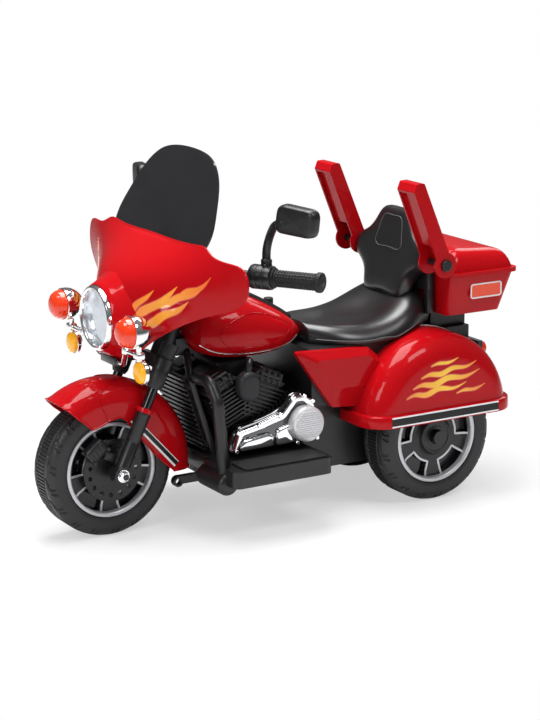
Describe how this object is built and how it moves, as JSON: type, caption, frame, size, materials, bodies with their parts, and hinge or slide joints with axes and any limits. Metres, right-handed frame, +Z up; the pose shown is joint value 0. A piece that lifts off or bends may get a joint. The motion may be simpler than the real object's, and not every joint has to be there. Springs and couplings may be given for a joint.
{
  "type": "ride-on motorbike",
  "caption": "Child's ride-on electric motorbike: winged fairing with windshield, fork and fender, finned V engine, tank, saddle, backrest, swing-down armrests, rear fenders and lidded case.",
  "frame": {"origin": "on the ground, in the middle of the overall length and width", "axes": "-Y is the front, +X the rider's left, +Z up"},
  "size_m": [0.6506, 0.95, 0.691],
  "materials": {
    "red_plastic": "glossy red moulding",
    "black_plastic": "satin black moulding",
    "grey_plastic": "matte dark grey",
    "chrome_plating": "bright plated plastic",
    "saddle_vinyl": "soft-touch black with fine grain",
    "grip_rubber": "ribbed",
    "tyre_rubber": "matte, treaded",
    "screen": "dark smoked sheet",
    "clear_lens": "clear moulded lens",
    "red_lens": "translucent red",
    "amber_lens": "translucent amber",
    "steel": "plain turned bar",
    "gear_nylon": "natural nylon",
    "battery_case": "moulded case"
  },
  "bodies": {
    "chassis": {"chassis_tray": "black_plastic", "footboard_mats": "grip_rubber", "main_frame": "black_plastic", "radiator_grille": "black_plastic", "crash_bars": "black_plastic", "engine_case": "black_plastic", "engine_cylinders": "black_plastic", "rocker_covers": "grey_plastic", "horn_covers": "grey_plastic", "primary_covers": "chrome_plating", "body_shell": "black_plastic", "fuel_tank": "red_plastic", "tank_console": "black_plastic", "seat": "saddle_vinyl", "backrest": "saddle_vinyl", "armrest_pins": "black_plastic", "rear_fenders": "red_plastic", "side_panels": "red_plastic", "tail_lights": "red_lens", "top_case": "red_plastic", "lid_hinge_pins": "steel", "case_reflectors": "red_lens", "rear_axle": "steel", "gearbox_housing": "black_plastic", "motor": "steel", "battery": "battery_case"},
    "steering": {"steering_stem": "black_plastic", "fork_legs": "black_plastic", "fork_tubes": "black_plastic", "front_axle": "steel", "brake_caliper": "black_plastic", "front_fender": "red_plastic", "fairing": "red_plastic", "fairing_inner": "black_plastic", "windshield": "screen", "headlight_bezel": "chrome_plating", "headlight_lens": "clear_lens", "light_bar": "chrome_plating", "spot_lamp_lenses": "red_lens", "signal_lenses": "amber_lens", "handlebar": "black_plastic", "grips": "grip_rubber", "switch_blocks": "black_plastic"},
    "front_wheel": {"front_tyre": "tyre_rubber", "front_rim": "black_plastic", "brake_disc": "black_plastic"},
    "rear_wheel_left": {"rear_tyre_left": "tyre_rubber", "rear_rim_left": "black_plastic"},
    "rear_wheel_right": {"rear_tyre_right": "tyre_rubber", "rear_rim_right": "black_plastic", "drive_gear": "gear_nylon"},
    "motor_pinion": {"motor_pinion": "gear_nylon"},
    "mirror_left": {"mirror_left": "black_plastic"},
    "mirror_right": {"mirror_right": "black_plastic"},
    "armrest_left": {"armrest_left": "red_plastic"},
    "armrest_right": {"armrest_right": "red_plastic"},
    "top_case_lid": {"top_case_lid": "red_plastic"},
    "foot_pedal": {"foot_pedal": "black_plastic"},
    "power_button": {"power_button": "grey_plastic"},
    "direction_switch": {"direction_switch": "grey_plastic"}
  },
  "joints": [
    {"name": "steer", "type": "hinge", "parent": "chassis", "child": "steering", "pos_m": [0, -0.32462, 0.11317], "axis": [0, 0.4226, 0.9063], "range_deg": [-25, 25]},
    {"name": "front_wheel_spin", "type": "hinge", "parent": "steering", "child": "front_wheel", "pos_m": [0, -0.35, 0.125], "axis": [1, 0, 0], "continuous": true},
    {"name": "rear_wheel_left_spin", "type": "hinge", "parent": "chassis", "child": "rear_wheel_left", "pos_m": [0.1265, 0.275, 0.125], "axis": [1, 0, 0], "continuous": true},
    {"name": "rear_wheel_right_spin", "type": "hinge", "parent": "chassis", "child": "rear_wheel_right", "pos_m": [-0.1265, 0.275, 0.125], "axis": [1, 0, 0], "continuous": true},
    {"name": "pinion_spin", "type": "hinge", "parent": "chassis", "child": "motor_pinion", "pos_m": [-0.064, 0.2295, 0.125], "axis": [1, 0, 0], "continuous": true},
    {"name": "mirror_left_turn", "type": "hinge", "parent": "steering", "child": "mirror_left", "pos_m": [0.187, -0.11655, 0.506], "axis": [0, 0, 1], "range_deg": [-25, 25]},
    {"name": "mirror_right_turn", "type": "hinge", "parent": "steering", "child": "mirror_right", "pos_m": [-0.187, -0.11655, 0.506], "axis": [0, 0, 1], "range_deg": [-25, 25]},
    {"name": "armrest_left_fold", "type": "hinge", "parent": "chassis", "child": "armrest_left", "pos_m": [0.1425, 0.282, 0.456], "axis": [1, 0, 0], "range_deg": [0, 68]},
    {"name": "armrest_right_fold", "type": "hinge", "parent": "chassis", "child": "armrest_right", "pos_m": [-0.1425, 0.282, 0.456], "axis": [1, 0, 0], "range_deg": [0, 68]},
    {"name": "lid_hinge", "type": "hinge", "parent": "chassis", "child": "top_case_lid", "pos_m": [0, 0.4695, 0.424], "axis": [-1, 0, 0], "range_deg": [0, 95]},
    {"name": "pedal_press", "type": "hinge", "parent": "chassis", "child": "foot_pedal", "pos_m": [-0.165, -0.044, 0.144], "axis": [1, 0, 0], "range_deg": [0, 10], "stiffness_Nm_per_rad": 2, "springref_deg": -2.86},
    {"name": "power_press", "type": "slide", "parent": "chassis", "child": "power_button", "axis": [0, 0, -1], "range_m": [0, 0.0025], "stiffness_N_per_m": 400, "springref_m": -0.002},
    {"name": "direction_rock", "type": "hinge", "parent": "chassis", "child": "direction_switch", "pos_m": [0, -0.092, 0.421], "axis": [1, 0, 0], "range_deg": [-8, 8]}
  ],
  "couplings": [
    {"joint": "pinion_spin", "follows": "rear_wheel_right_spin", "ratio": -3.3333}
  ]
}
